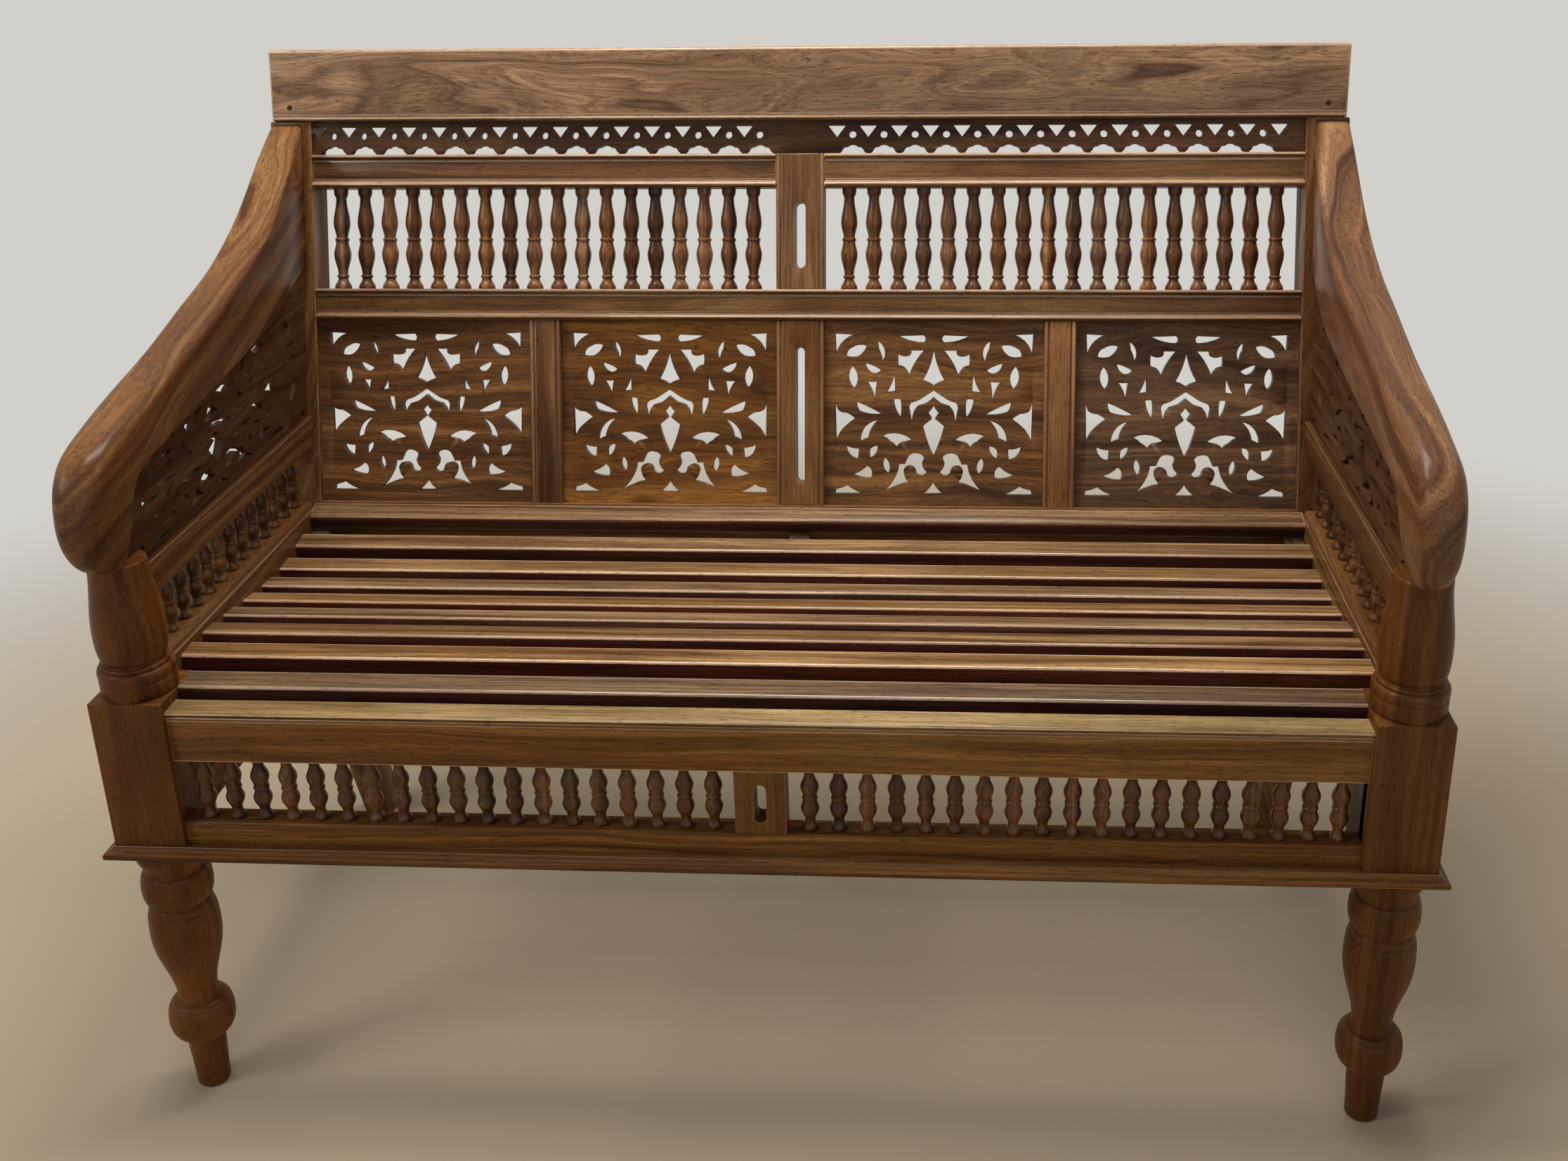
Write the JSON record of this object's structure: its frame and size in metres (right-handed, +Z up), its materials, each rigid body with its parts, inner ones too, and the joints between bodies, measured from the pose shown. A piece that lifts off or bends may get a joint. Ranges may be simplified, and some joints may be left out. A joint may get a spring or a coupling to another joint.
{
  "type": "slatted bench",
  "caption": "Two-seat hardwood bench with turned front posts, swept arms, pierced back panels, spindle galleries and a dished seat of open slats.",
  "frame": {"origin": "middle of the footprint on the floor, under the feet", "axes": "+X along the length of the seat, -Y to the front, where the sitter faces, and +Z up"},
  "size_m": [1.2, 0.624, 0.931],
  "materials": {
    "post_wood": "satin",
    "crest_wood": "satin",
    "arm_wood": "satin",
    "slat_wood": "satin",
    "panel_wood": "satin",
    "fret_wood": "satin",
    "spindle_wood": "satin",
    "moulding_wood": "satin",
    "peg_wood": "satin",
    "frame_wood": "satin",
    "rail_wood": "satin"
  },
  "bodies": {
    "root": {"front_post_left": "post_wood", "front_post_right": "post_wood", "rear_post_left": "post_wood", "rear_post_right": "post_wood", "crest_rail": "crest_wood", "frieze_board": "fret_wood", "upper_rail_left": "rail_wood", "upper_rail_right": "rail_wood", "middle_rail": "rail_wood", "rear_seat_rail": "rail_wood", "centre_stile_upper": "rail_wood", "centre_stile_lower": "rail_wood", "panel_divider_left": "rail_wood", "panel_divider_right": "rail_wood", "pierced_panel_1": "panel_wood", "pierced_panel_2": "panel_wood", "pierced_panel_3": "panel_wood", "pierced_panel_4": "panel_wood", "back_spindles_left": "spindle_wood", "back_spindles_right": "spindle_wood", "arm_left": "arm_wood", "arm_right": "arm_wood", "arm_dowels": "peg_wood", "side_fret_left": "fret_wood", "side_fret_right": "fret_wood", "side_mid_rail_left": "rail_wood", "side_mid_rail_right": "rail_wood", "side_spindles_left": "spindle_wood", "side_spindles_right": "spindle_wood", "side_seat_rail_left": "rail_wood", "side_seat_rail_right": "rail_wood", "side_lower_rail_left": "rail_wood", "side_lower_rail_right": "rail_wood", "side_apron_spindles_left": "spindle_wood", "side_apron_spindles_right": "spindle_wood", "front_seat_rail": "rail_wood", "front_lower_rail": "rail_wood", "apron_stile": "rail_wood", "apron_spindles_left": "spindle_wood", "apron_spindles_right": "spindle_wood", "base_moulding_front": "moulding_wood", "base_moulding_left": "moulding_wood", "base_moulding_right": "moulding_wood", "rear_lower_rail": "frame_wood", "seat_slat_1": "slat_wood", "seat_slat_2": "slat_wood", "seat_slat_3": "slat_wood", "seat_slat_4": "slat_wood", "seat_slat_5": "slat_wood", "seat_slat_6": "slat_wood", "seat_slat_7": "slat_wood", "seat_slat_8": "slat_wood", "rear_slat": "slat_wood", "seat_bearer_left": "frame_wood", "seat_bearer_middle": "frame_wood", "seat_bearer_right": "frame_wood", "corner_blocks": "frame_wood", "crest_pegs": "peg_wood", "rail_pegs": "peg_wood"}
  },
  "joints": []
}
